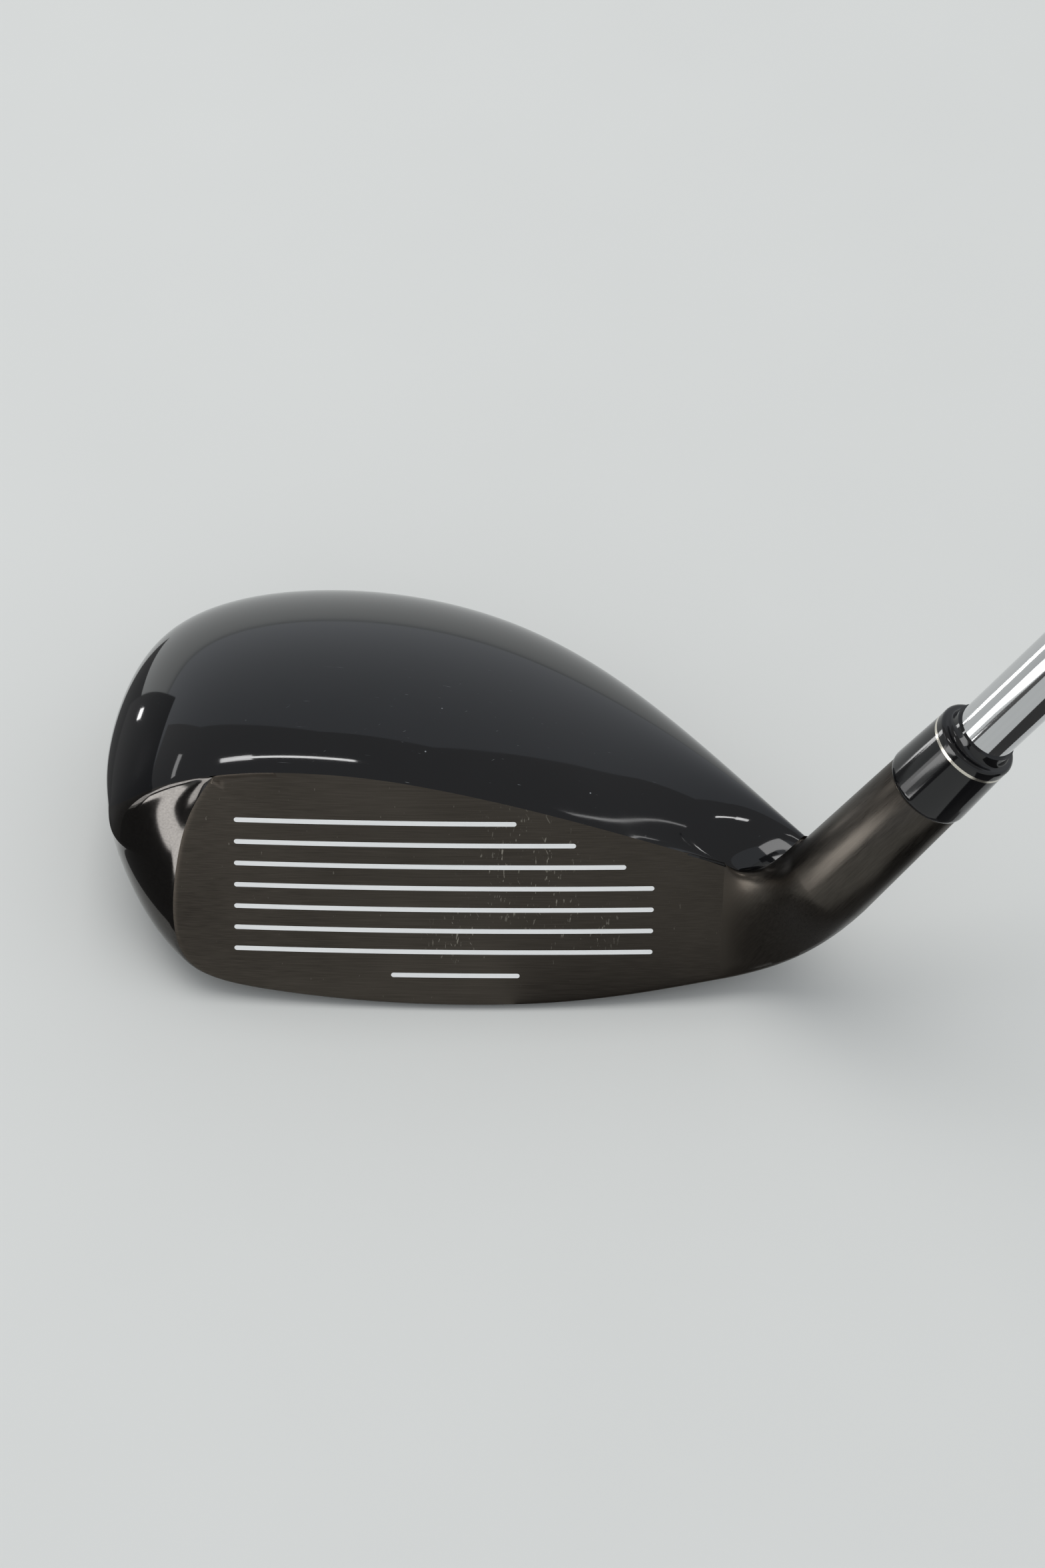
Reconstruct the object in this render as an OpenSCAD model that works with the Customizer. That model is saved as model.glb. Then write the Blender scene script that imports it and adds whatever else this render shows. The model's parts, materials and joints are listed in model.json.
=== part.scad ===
// Hybrid golf club, right-handed, soled on the ground at address.
// Z = 0 is the ground, +X runs to the heel, +Y runs away from the ball,
// and the shaft axis meets the ground at the origin.

/* [Set-up] */
// Length along the shaft axis, from the ground to the end of the grip cap
club_length = 1028; // [940:1:1080]
// Angle between the shaft axis and the ground
lie_angle = 59.5; // [57:0.5:62]
// Backward lean of the face
loft_angle = 22; // [18:0.5:26]
// Leading edge in front of the shaft axis
face_progression = 6; // [4:0.5:9]

/* [Head] */
// Shaft axis on the ground to the outermost point of the toe
toe_reach = 101; // [92:0.5:108]
// Leading edge to the back of the head
head_depth = 77; // [66:0.5:84]
// Tallest part of the face, measured up its slope
face_height = 42.4; // [38:0.1:46]
// Rim between crown and skirt, above the ground at the back
rim_height = 15.5; // [12:0.5:19]
// Radius of the face from heel to toe
bulge_radius = 720; // [300:10:1200]
// Wall of the crown
crown_wall = 0.9; // [0.6:0.1:1.4]
// Wall of the skirt and sole
body_wall = 1.6; // [1.2:0.1:2.2]
// Wall of the face plate
face_wall = 2.4; // [1.8:0.1:3]
// Thickness of the cast weight inside the sole
weight_thickness = 2.5; // [1.5:0.5:5]

/* [Score lines] */
// Distance from one score line to the next
score_pitch = 3.86; // [3.4:0.02:4]
// Width of a score line
score_width = 0.8; // [0.6:0.05:1]
// Depth of a score line
score_depth = 0.4; // [0.3:0.05:0.6]
// Height of the lowest full score line up the face
score_start = 11.1; // [10:0.1:13]

/* [Hosel] */
// Outer diameter at the top of the hosel
hosel_d = 13.2; // [12.8:0.1:14.4]
// Growth of that diameter towards the head
hosel_taper = 1.3; // [0.5:0.1:2]
// Top of the hosel, along the shaft axis from the ground
hosel_top = 57.7; // [53:0.1:64]
// Length of the straight part of the hosel, below its top
hosel_length = 25; // [20:0.5:28]
// Depth of the hosel bore
bore_depth = 21; // [16:0.5:22]
// Thickness of the adhesive round the shaft tip
glue_gap = 0.1; // [0.05:0.01:0.2]

/* [Ferrule] */
// Length of the black sleeve below the trim ring
ferrule_length = 10.6; // [8:0.1:12]
// Diameter of the sleeve where it meets the hosel
ferrule_d = 13.8; // [13.5:0.1:15]
// Width of the trim ring
ring_width = 0.5; // [0.4:0.1:1]
// Length of the collar above the trim ring
collar_length = 3.4; // [2.5:0.1:5]

/* [Shaft] */
// Diameter of the shaft at its tip
tip_d = 9.4; // [9:0.1:9.8]
// Diameter of the shaft at its butt
butt_d = 15.2; // [14.8:0.1:15.6]
// Wall of the shaft
shaft_wall = 0.4; // [0.35:0.05:0.6]
// Length of the plain tip section
tip_length = 215; // [180:5:240]
// Number of steps between the tip and the butt
step_count = 15; // [10:1:18]

/* [Grip] */
// Length of the grip, without its cap
grip_length = 262; // [245:1:275]
// Wall of the grip at its mouth
grip_mouth_wall = 2.1; // [1.6:0.1:2.6]
// Wall of the grip at the butt
grip_butt_wall = 5.6; // [4.8:0.1:6.2]
// Thickness of the grip tape
tape_wall = 0.2; // [0.1:0.05:0.4]

/* [Hidden] */
eps = 0.01;

// ---- Points and curves ----
function mix(a, b, t) = a + (b - a) * t;
function unit(v) = v / norm(v);
function smooth(t) = let (u = min(max(t, 0), 1)) u * u * (3 - 2 * u);
function bezier(a, b, c, d, t) =
    let (s = 1 - t)
    s * s * s * a + 3 * s * s * t * b + 3 * s * t * t * c + t * t * t * d;

// Cubic B-spline over the control points p, which starts and ends at the first and last of them
function control(p, i) =
    i < 0 ? 2 * p[0] - p[1] :
    i >= len(p) ? 2 * p[len(p) - 1] - p[len(p) - 2] : p[i];
function bspline(p, t) =
    let (
        last = len(p) - 1,
        i = min(floor(t * last), last - 1),
        k = t * last - i,
        s = 1 - k
    )
    (s * s * s * control(p, i - 1) + (3 * k * k * k - 6 * k * k + 4) * control(p, i)
        + (3 * s * s * s - 6 * s * s + 4) * control(p, i + 1) + k * k * k * control(p, i + 2)) / 6;

// ---- The face, a shallow cylinder that leans back by the loft ----
bulge_centre = -0.43 * toe_reach;
function bulge(x) = bulge_radius - sqrt(bulge_radius * bulge_radius - (x - bulge_centre) * (x - bulge_centre));
// World point at x, height up the face, and depth behind its surface
function on_face(x, up, behind) =
    let (back = behind + bulge(x))
    [
        x,
        -face_progression + up * sin(loft_angle) + back * cos(loft_angle),
        up * cos(loft_angle) - back * sin(loft_angle)
    ];
function face_share(p) = [p[0] * toe_reach, p[1] * face_height, p[2] * head_depth];
function face_point(p) = on_face(p[0], p[1], p[2]);

// Front edge of the crown from the toe corner to the neck: shares of reach, face height and depth
topline = [for (p = [
    [-0.972, 0.730, 0.115], [-0.948, 0.796, 0.062], [-0.886, 0.922, 0.018], [-0.798, 0.992, 0],
    [-0.693, 1.013, 0], [-0.554, 0.998, 0], [-0.416, 0.935, 0], [-0.277, 0.850, 0],
    [-0.134, 0.743, 0], [0, 0.635, 0]
]) face_share(p)];
corner_t = 3 / 9;
function topline_at(t) = face_point(bspline(topline, t));

// Outline of the flat face from the crown down the toe and along the leading edge to the neck
corner = bspline(topline, corner_t);
face_edge = concat([[corner[0], corner[1], 0]], [for (p = [
    [-0.838, 0.830, 0], [-0.860, 0.610, 0], [-0.872, 0.350, 0], [-0.850, 0.130, 0],
    [-0.715, 0.068, 0], [-0.560, 0.030, 0], [-0.410, 0.018, 0], [-0.260, 0.028, 0],
    [-0.120, 0.072, 0], [0, 0.130, 0]
]) face_share(p)]);
function face_edge_at(t) = face_point(bspline(face_edge, t));

// Rim between crown and skirt, from the toe corner round the back to the neck
function head_point(p) = [p[0] * toe_reach, p[1] * head_depth - face_progression, p[2] * rim_height];
rim = concat([topline_at(0)], [for (p = [
    [-0.994, 0.430, 1.28], [-0.988, 0.650, 1.10], [-0.932, 0.870, 1.03], [-0.780, 0.985, 1.00],
    [-0.560, 1.000, 1.00], [-0.345, 0.925, 1.03], [-0.164, 0.752, 1.10], [0.000, 0.482, 1.28],
    [0.122, 0.182, 1.63]
]) head_point(p)]);
function rim_at(t) = bspline(rim, t);

// ---- Crown: cross curves from the topline to the rim ----
crown_front_rise = [
    [0, 0, 0], [0, 0, 3], [0, 0, 8], [0, 0, 14], [0, 0, 16], [0, 0, 16], [0, 0, 14], [0, 0, 10],
    [0, 0, 4], [4, -0.6, -8.6]
];
crown_back_rise = [
    [0, 0, 0], [0, 0, 3], [0, 0, 7], [0, -1, 12], [0, -3, 15], [0, -3, 15], [0, -3, 13], [-1, -3, 11],
    [-1, -4, 10.5], [1.2, -5, 17]
];
function crown_front_pull(t) = 0.28 * (rim_at(t) - topline_at(t)) + bspline(crown_front_rise, t);
function crown_back_pull(t) = bspline(crown_back_rise, t);
function crown_at(t, v) = bezier(
    topline_at(t), topline_at(t) + crown_front_pull(t),
    rim_at(t) + crown_back_pull(t), rim_at(t), v
);

// ---- Skirt and sole: cross curves from the crown's edge to the outline of the face ----
// The first part of its outer edge runs from the face corner out to the toe corner of the crown
toe_share = 0.2;
function skirt_edge_at(t) =
    t < toe_share ? topline_at(corner_t * (1 - t / toe_share)) : rim_at((t - toe_share) / (1 - toe_share));
skirt_pull = [
    [0, 0, 0], [-2, -1, -1.5], [0, -6, -4], [0.5, -10, -8], [0.5, -7, -12], [0, 1, -12.5],
    [0, 2.3, -12.5], [0, 2.3, -12.5], [0, 2, -10.5], [1, 2, -9], [2.5, 5, -12]
];
sole_pull = [
    [0, 0, 0], [-4, 2, 0.5], [-7, 4, 0], [-9, 4, -3.5], [-8, 9, -5], [-4, 22, -4.4],
    [0, 30, -3.4], [0, 30, -3.3], [0, 26, -3.3], [2, 17, -3.2], [6, 9, -2.6]
];
function sole_at(t, v) = bezier(
    skirt_edge_at(t), skirt_edge_at(t) + bspline(skirt_pull, t),
    face_edge_at(t) + bspline(sole_pull, t), face_edge_at(t), v
);

// ---- Grids of points, and the shells between two of them ----
crown_columns = 45;
crown_rows = 16;
sole_columns = 56;
sole_rows = 18;
tip_gap = 0.004;
function column_t(i, count) = max(i / count, tip_gap);
crown_grid = [for (i = [0:crown_columns]) [for (j = [0:crown_rows]) crown_at(column_t(i, crown_columns), j / crown_rows)]];
sole_grid = [for (i = [0:sole_columns]) [for (j = [0:sole_rows]) sole_at(column_t(i, sole_columns), j / sole_rows)]];

function grid_normal(g, i, j) =
    let (
        a = g[min(i + 1, len(g) - 1)][j] - g[max(i - 1, 0)][j],
        b = g[i][min(j + 1, len(g[0]) - 1)] - g[i][max(j - 1, 0)]
    )
    unit(cross(a, b));
// The first column is nearly a point, so it takes its neighbour's normals
function offset_grid(g, depth) =
    [for (i = [0:len(g) - 1]) [for (j = [0:len(g[0]) - 1]) g[i][j] - depth * grid_normal(g, max(i, 1), j)]];
function flatten(g) = [for (row = g) each row];

// A closed shell with the grid as its outer side
module shell(g, inner) {
    n = len(g);
    m = len(g[0]);
    function at(i, j) = i * m + j;
    function under(i, j) = n * m + i * m + j;
    faces = [
        for (i = [0:n - 2]) for (j = [0:m - 2]) each [
            [at(i, j), at(i, j + 1), at(i + 1, j + 1)],
            [at(i, j), at(i + 1, j + 1), at(i + 1, j)],
            [under(i, j), under(i + 1, j + 1), under(i, j + 1)],
            [under(i, j), under(i + 1, j), under(i + 1, j + 1)]
        ],
        for (i = [0:n - 2]) each [
            [at(i, 0), at(i + 1, 0), under(i + 1, 0)],
            [at(i, 0), under(i + 1, 0), under(i, 0)],
            [at(i + 1, m - 1), at(i, m - 1), under(i, m - 1)],
            [at(i + 1, m - 1), under(i, m - 1), under(i + 1, m - 1)]
        ],
        for (j = [0:m - 2]) each [
            [at(0, j + 1), at(0, j), under(0, j)],
            [at(0, j + 1), under(0, j), under(0, j + 1)],
            [at(n - 1, j), at(n - 1, j + 1), under(n - 1, j + 1)],
            [at(n - 1, j), under(n - 1, j + 1), under(n - 1, j)]
        ]
    ];
    polyhedron(concat(flatten(g), flatten(inner)), faces, convexity = 6);
}

// ---- The shaft axis ----
axis = [cos(lie_angle), 0, sin(lie_angle)];
axis_side = [sin(lie_angle), 0, -cos(lie_angle)];
module on_axis(height) {
    rotate([0, 90 - lie_angle, 0]) translate([0, 0, height]) children();
}

// ---- Neck: a loft from the heel end of the head to the round hosel ----
neck_round = hosel_top - hosel_length;
neck_rows = 14;
face_end_rows = 7;
// The closed loop at the heel end: over the crown's end, under the sole's end, up the face
function face_end_at(s) =
    let (p = mix(bspline(face_edge, 1), bspline(topline, 1), s)) on_face(p[0], p[1], 0);
neck_loop = concat(
    crown_grid[crown_columns],
    [for (j = [1:sole_rows]) sole_grid[sole_columns][j]],
    [for (k = [1:face_end_rows - 1]) face_end_at(k / face_end_rows)]
);
// Part of the loop that each point lies on, 0 crown, 1 sole or 2 face, and how far along it
neck_places = concat(
    [for (j = [0:crown_rows]) [0, j / crown_rows]],
    [for (j = [1:sole_rows]) [1, j / sole_rows]],
    [for (k = [1:face_end_rows - 1]) [2, k / face_end_rows]]
);
// Directions in which the neck leaves the loop: smooth with the sole and face, steep on the crown,
// and forward at the corner between them, round the front of the hosel
crown_lift = 0.9;
corner_share = 0.4;
corner_run = unit([0.8, -0.55, 0.1]);
function column_step(g, j) = unit(g[len(g) - 1][j] - g[len(g) - 2][j]);
run_on = concat(
    [for (j = [0:crown_rows]) unit(mix(
        corner_run, unit(mix(column_step(crown_grid, j), axis, crown_lift)),
        smooth(j / crown_rows / corner_share)
    ))],
    [for (j = [1:sole_rows]) column_step(sole_grid, j)],
    [for (k = [1:face_end_rows - 1]) unit(mix([1, 0, 0], corner_run, smooth(k / face_end_rows)))]
);
// Turn round the shaft axis at which each corner of the loop reaches the round hosel
loop_turns = [215, 100, -50, -145];
neck_turns = [for (p = neck_places) mix(loop_turns[p[0]], loop_turns[p[0] + 1], p[1])];
neck_reach = 0.36;
function hosel_point(turn, height, d) =
    height * axis + d / 2 * (cos(turn) * axis_side + sin(turn) * [0, 1, 0]);
function neck_at(i, w) =
    let (
        p = neck_loop[i],
        q = hosel_point(neck_turns[i], neck_round, hosel_d + hosel_taper),
        reach = neck_reach * norm(q - p)
    )
    bezier(p, p + reach * run_on[i], q - reach * axis, q, w);

// Rings whose points are drawn to the middle of their neighbours, wholly a third of the way up,
// where 27 / 4 w (1 - w)^2 has its peak of 1
function relaxed(rings, shares, passes) =
    passes == 0 ? rings :
    let (count = len(rings[0]), last = len(rings) - 1)
    relaxed([
        for (j = [0:last]) let (w = j / last) [
            for (i = [0:count - 1])
                j == 0 || j == last ? rings[j][i] :
                let (
                    beside = rings[j][(i + count - 1) % count] + rings[j][(i + 1) % count],
                    along = rings[j - 1][i] + rings[j + 1][i]
                )
                mix(rings[j][i], (beside + along) / 4, shares[i] * 27 / 4 * w * (1 - w) * (1 - w))
        ]
    ], shares, passes - 1);
// Only the corner between crown and face is rounded in this way
relax_passes = 14;
crown_round_share = 0.9;
neck_shares = [
    for (p = neck_places)
        p[0] == 0 ? 1 - smooth(p[1] / crown_round_share) : p[0] == 1 ? 0 : smooth(p[1])
];

// Rings of points, each joined to the next, with a cap at either end
module ring_loft(rings) {
    n = len(rings);
    count = len(rings[0]);
    ones = [for (p = rings[0]) 1];
    function at(j, i) = j * count + i % count;
    faces = [
        for (j = [0:n - 2]) for (i = [0:count - 1]) each [
            [at(j, i), at(j, i + 1), at(j + 1, i + 1)],
            [at(j, i), at(j + 1, i + 1), at(j + 1, i)]
        ],
        for (i = [0:count - 1]) each [
            [at(0, i + 1), at(0, i), n * count],
            [at(n - 1, i), at(n - 1, i + 1), n * count + 1]
        ]
    ];
    polyhedron(
        concat(flatten(rings), [ones * rings[0] / count, ones * rings[n - 1] / count]),
        faces, convexity = 6
    );
}
neck_rings = concat(
    relaxed(
        [for (j = [0:neck_rows]) [for (i = [0:len(neck_loop) - 1]) neck_at(i, j / neck_rows)]],
        neck_shares, relax_passes
    ),
    [[for (turn = neck_turns) hosel_point(turn, hosel_top, hosel_d)]]
);

// ---- Inner sides of the shells ----
// Behind the topline the crown sits on the edge of the face plate
face_inward = [0, cos(loft_angle), -sin(loft_angle)];
crown_lap = 1.25 * crown_wall;
crown_inner = let (g = offset_grid(crown_grid, crown_wall)) [
    for (i = [0:crown_columns]) [
        for (j = [0:crown_rows])
            j == 0 && column_t(i, crown_columns) >= corner_t ? crown_grid[i][0] + crown_lap * face_inward : g[i][j]
    ]
];
// At the face the body's wall ends in a land, flush with the face plate, and a seat behind it
function turn_left(v) = [-v[1], v[0], 0];
corner_slope = let (d = bspline(topline, corner_t + eps) - corner) d[1] / d[0];
top_run = unit([1, corner_slope, 0]);
// At the top of the crease the land ends along the topline, in a mitre
mitre_share = 0.06;
weld_gap = 0.02;
function land_point(t) =
    let (
        along = bspline(face_edge, min(t + eps, 1)) - bspline(face_edge, max(t - eps, 0)),
        left = turn_left(unit(along)),
        mitre = corner + body_wall / (left * top_run) * top_run,
        q = mix(mitre, bspline(face_edge, t) + body_wall * left, smooth(t / mitre_share))
    )
    [min(q[0], 0), min(q[1], corner[1] + corner_slope * (q[0] - corner[0]) - weld_gap)];
function face_seat(t, behind) = let (q = land_point(t)) on_face(q[0], q[1], behind);
sole_inner = let (g = offset_grid(sole_grid, body_wall)) [
    for (i = [0:sole_columns]) let (t = column_t(i, sole_columns)) [
        for (j = [0:sole_rows])
            j == sole_rows ? face_seat(t, 0) : j == sole_rows - 1 ? face_seat(t, face_wall + weld_gap) : g[i][j]
    ]
];

// ---- Face plate and score lines, in a frame that lies on the face: X to the heel, Y up, Z to the ball ----
module in_face_frame() {
    translate([0, -face_progression, 0]) rotate([90 - loft_angle, 0, 0]) children();
}
function bulge_turn(x) = asin((x - bulge_centre) / bulge_radius);
// Layer of the face's cylinder between two depths
module face_layer(deep, shallow) {
    turns = [bulge_turn(-toe_reach), bulge_turn(0)];
    translate([bulge_centre, 0, -bulge_radius]) rotate([-90, 0, 0]) rotate([0, 0, turns[0] - 90])
        rotate_extrude(angle = turns[1] - turns[0], $fn = 720)
            translate([bulge_radius - deep, 0]) square([deep - shallow, 1.2 * face_height]);
}
// The plate fills the land, and its top edge carries the crown
plate_outline = concat(
    [for (i = [0:sole_columns]) land_point(column_t(i, sole_columns))],
    [
        for (i = [crown_columns:-1:corner_t * crown_columns + 1])
            let (q = bspline(topline, i / crown_columns))
            if (q[0] > land_point(0)[0] + body_wall / 4) [q[0], q[1] - weld_gap]
    ]
);
// Outline extruded along the face's depth
module face_prism() {
    translate([0, 0, -toe_reach / 4]) linear_extrude(toe_reach / 2) children();
}

// Each row of the score lines: first and last x as shares of the reach
score_rows = [
    [-0.523, -0.319], [-0.771, -0.109], [-0.770, -0.109], [-0.769, -0.109], [-0.768, -0.109],
    [-0.767, -0.154], [-0.766, -0.233], [-0.765, -0.326]
];
short_row_drop = 1.12 * score_pitch;
function score_height(k) = k == 0 ? score_start - short_row_drop : score_start + (k - 1) * score_pitch;
bar_end_points = 8;
function bar_end(x, y, start) = [
    for (k = [0:bar_end_points])
        let (turn = start + 180 * k / bar_end_points)
        [x, y] + score_width / 2 * [cos(turn), sin(turn)]
];
module score_bars(deep, shallow) {
    intersection() {
        face_layer(deep, shallow);
        face_prism() for (k = [0:len(score_rows) - 1])
            let (y = score_height(k), x = score_rows[k] * toe_reach, r = score_width / 2)
            polygon(concat(bar_end(x[0] + r, y, 90), bar_end(x[1] - r, y, 270)));
    }
}

// ---- One module for each piece ----
module body() {
    color("dimgray") shell(sole_grid, sole_inner);
}
module neck() {
    color("dimgray") difference() {
        ring_loft(neck_rings);
        on_axis(hosel_top - bore_depth) cylinder(d = tip_d + 2 * glue_gap, h = bore_depth + 1, $fn = 64);
    }
}
module face_plate() {
    color("gray") in_face_frame() difference() {
        intersection() {
            face_layer(face_wall, 0);
            face_prism() polygon(plate_outline);
        }
        score_bars(score_depth, -1);
    }
}
module score_lines() {
    color("white") in_face_frame() score_bars(score_depth, score_depth / 8);
}
module crown() {
    color("black") shell(crown_grid, crown_inner);
}
// Cast pad that lies on the inside of the sole at the back
weight_columns = [26, 38];
weight_rows = [3, 9];
module sole_weight() {
    inner = offset_grid(sole_grid, body_wall);
    deeper = offset_grid(sole_grid, body_wall + weight_thickness);
    function part(g) = [
        for (i = [weight_columns[0]:weight_columns[1]]) [for (j = [weight_rows[0]:weight_rows[1]]) g[i][j]]
    ];
    color("slategray") shell(part(inner), part(deeper));
}
module hosel_glue() {
    color("khaki") on_axis(hosel_top - bore_depth) difference() {
        cylinder(d = tip_d + 2 * glue_gap, h = bore_depth, $fn = 64);
        translate([0, 0, glue_gap]) cylinder(d = tip_d, h = bore_depth, $fn = 64);
    }
}
tip_start = hosel_top - bore_depth + glue_gap;
ring_start = hosel_top + ferrule_length;
collar_start = ring_start + ring_width;
ring_d = 0.945 * ferrule_d;
module ferrule() {
    edge = 0.5;
    color("black") on_axis(hosel_top) rotate_extrude($fn = 96) polygon([
        [tip_d / 2, 0], [ferrule_d / 2 - edge / 2, 0], [ferrule_d / 2, edge], [ferrule_d / 2, 2 * edge],
        [ring_d / 2, ferrule_length], [tip_d / 2, ferrule_length]
    ]);
}
module ferrule_ring() {
    color("silver") on_axis(ring_start) difference() {
        cylinder(d = ring_d, h = ring_width, $fn = 96);
        translate([0, 0, -1]) cylinder(d = tip_d, h = ring_width + 2, $fn = 64);
    }
}
module ferrule_collar() {
    lip = 0.6;
    top_d = tip_d + 0.8;
    color("black") on_axis(collar_start) rotate_extrude($fn = 96) polygon([
        [tip_d / 2, 0], [ring_d / 2, 0], [ring_d / 2, collar_length / 2 - lip],
        [ring_d / 2 - lip / 3, collar_length / 2 - lip / 3], [ring_d / 2 - lip, collar_length / 2],
        [ring_d / 2 - 1.6 * lip, 0.62 * collar_length], [top_d / 2, 0.8 * collar_length],
        [top_d / 2, collar_length], [tip_d / 2, collar_length]
    ]);
}
cap_thickness = 3.5;
shaft_length = club_length - cap_thickness - tip_start;
// The straight butt section comes out of the mouth of the grip
butt_shown = 30;
butt_start = shaft_length - grip_length - butt_shown;
step_pitch = (butt_start - tip_length) / step_count;
step_slope = 2.5;
function step_d(k) = mix(tip_d, butt_d, k / step_count);
module shaft() {
    outer = concat(
        [[tip_d / 2, 0]],
        [for (k = [0:step_count - 1]) each [
            [step_d(k) / 2, tip_length + k * step_pitch],
            [step_d(k + 1) / 2, tip_length + k * step_pitch + step_slope]
        ]],
        [[butt_d / 2, shaft_length]]
    );
    count = len(outer);
    color("gainsboro") on_axis(tip_start) rotate_extrude($fn = 96)
        polygon(concat(outer, [for (i = [count - 1:-1:0]) outer[i] - [shaft_wall, 0]]));
}
plug_length = 22;
module tip_plug() {
    color("dimgray") on_axis(tip_start) cylinder(d = tip_d - 2 * shaft_wall, h = plug_length, $fn = 48);
}
grip_start = club_length - cap_thickness - grip_length;
grip_bore_d = butt_d + 2 * tape_wall;
tape_inset = 4;
module grip_tape() {
    color("tan") on_axis(grip_start + tape_inset) difference() {
        cylinder(d = grip_bore_d, h = grip_length - tape_inset, $fn = 96);
        translate([0, 0, -1]) cylinder(d = butt_d, h = grip_length + 2, $fn = 96);
    }
}
mouth_bead = 3;
module grip() {
    mouth_d = grip_bore_d + 2 * grip_mouth_wall;
    end_d = grip_bore_d + 2 * grip_butt_wall;
    color([0.08, 0.08, 0.08]) on_axis(grip_start) rotate_extrude($fn = 96) polygon([
        [grip_bore_d / 2, 0], [mouth_d / 2 - 0.6, 0], [mouth_d / 2, 0.8], [mouth_d / 2, mouth_bead],
        [mouth_d / 2 - 0.5, mouth_bead + 0.7], [mix(mouth_d, end_d, 0.42) / 2, 0.5 * grip_length],
        [mix(mouth_d, end_d, 0.8) / 2, 0.8 * grip_length], [end_d / 2, grip_length], [grip_bore_d / 2, grip_length]
    ]);
}
module grip_cap() {
    end_d = grip_bore_d + 2 * grip_butt_wall;
    vent_d = 2.4;
    color([0.08, 0.08, 0.08]) on_axis(club_length - cap_thickness) difference() {
        rotate_extrude($fn = 96) polygon([
            [0, 0], [end_d / 2, 0], [end_d / 2 + 0.4, 0.6], [end_d / 2 + 0.3, 0.6 * cap_thickness],
            [end_d / 2 - 1.2, cap_thickness - 0.3], [end_d / 2 - 3, cap_thickness], [0, cap_thickness]
        ]);
        translate([0, 0, -1]) cylinder(d = vent_d, h = cap_thickness + 2, $fn = 32);
    }
}

body();
neck();
face_plate();
score_lines();
crown();
sole_weight();
hosel_glue();
ferrule();
ferrule_ring();
ferrule_collar();
shaft();
tip_plug();
grip_tape();
grip();
grip_cap();
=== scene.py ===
"""The looks of a hybrid golf club: gloss crown, dark steel casting, painted face grooves and chrome shaft."""

import json
import math

import bmesh
import bpy
from bpy.props import FloatProperty, IntProperty, PointerProperty, StringProperty
from mathutils import Matrix, Vector
from mathutils.bvhtree import BVHTree

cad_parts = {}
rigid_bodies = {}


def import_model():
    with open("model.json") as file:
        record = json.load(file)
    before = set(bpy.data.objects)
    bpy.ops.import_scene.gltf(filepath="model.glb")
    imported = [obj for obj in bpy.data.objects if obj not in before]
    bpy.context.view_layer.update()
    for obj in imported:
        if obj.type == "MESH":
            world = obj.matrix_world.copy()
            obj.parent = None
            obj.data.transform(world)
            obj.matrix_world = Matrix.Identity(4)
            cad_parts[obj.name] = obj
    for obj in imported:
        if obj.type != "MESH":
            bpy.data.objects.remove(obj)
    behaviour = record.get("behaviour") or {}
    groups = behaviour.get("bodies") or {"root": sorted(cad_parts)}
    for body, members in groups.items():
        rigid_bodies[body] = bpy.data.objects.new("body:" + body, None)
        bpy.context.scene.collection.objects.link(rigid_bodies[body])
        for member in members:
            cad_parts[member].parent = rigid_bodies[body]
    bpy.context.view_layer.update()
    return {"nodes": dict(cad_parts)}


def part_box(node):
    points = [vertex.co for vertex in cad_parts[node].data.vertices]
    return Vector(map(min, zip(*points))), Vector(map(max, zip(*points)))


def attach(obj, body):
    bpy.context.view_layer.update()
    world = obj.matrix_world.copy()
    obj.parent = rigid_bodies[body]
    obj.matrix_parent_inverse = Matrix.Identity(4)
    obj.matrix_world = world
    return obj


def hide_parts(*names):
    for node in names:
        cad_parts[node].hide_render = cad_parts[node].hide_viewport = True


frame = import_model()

bl_info = {
    "name": "Hybrid golf club",
    "version": (1, 0, 0),
    "blender": (4, 5, 0),
    "location": "View3D > Sidebar > Club",
    "description": "Dresses the packed club with its modelled shells, turned parts and finishes",
    "category": "Object",
}

MM = 0.001
CAD_HEAD = [Vector(corner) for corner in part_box("body")]

# ---- The photograph's frame, its camera and its image points ----
PHOTO_W, PHOTO_H = 1045.33, 1568.0
CAMERA_LENS = 76.53
CAMERA_SENSOR = 36.0
CAMERA_PLACE = Vector((-32.05, -329.25, 430.86)) * MM
CAMERA_DOWN = math.radians(49.2)
CAMERA_ROLL = math.radians(0.55)

# name: (x, y) in the frame, with None where only one of them is a limit
IMAGE_POINTS = {
    "toe_left": (108.2, None),
    "crown_top": (None, 590.7),
    "sole_bottom": (None, 1007.5),
    "toe_crease_top": (210.7, 776.5),
    "face_heel_top": (726.0, 865.3),
    "score_top_left": (234.7, 820.3),
    "score_top_right": (516.7, 824.5),
    "score_low_left": (233.3, 948.8),
    "score_low_right": (652.7, 952.0),
    "score_short_left": (392.7, 974.0),
    "score_short_right": (521.7, 975.5),
    "ferrule_low_left": (897.9, 752.7),
    "ferrule_low_right": (960.7, 819.3),
    "ring_left": (935.1, 729.7),
    "ring_right": (996.7, 781.7),
    "ball_marks": (523.0, 868.0),
    "low_marks": (457.0, 936.0),
    "right_marks": (577.0, 926.0),
    "crown_marks": (402.0, 722.0),
    "heel_marks": (505.0, 780.0),
}


# ---- Curves ----
def mm(x, y, z):
    return Vector((x, y, z)) * MM


def mix(a, b, t):
    return a + (b - a) * t


def smooth(t):
    """A soft step from 0 to 1."""
    t = min(max(t, 0), 1)
    return t * t * (3 - 2 * t)


def bezier(points, t):
    """The Bezier curve over any number of points."""
    while len(points) > 1:
        points = [mix(a, b, t) for a, b in zip(points, points[1:])]
    return points[0]


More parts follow.
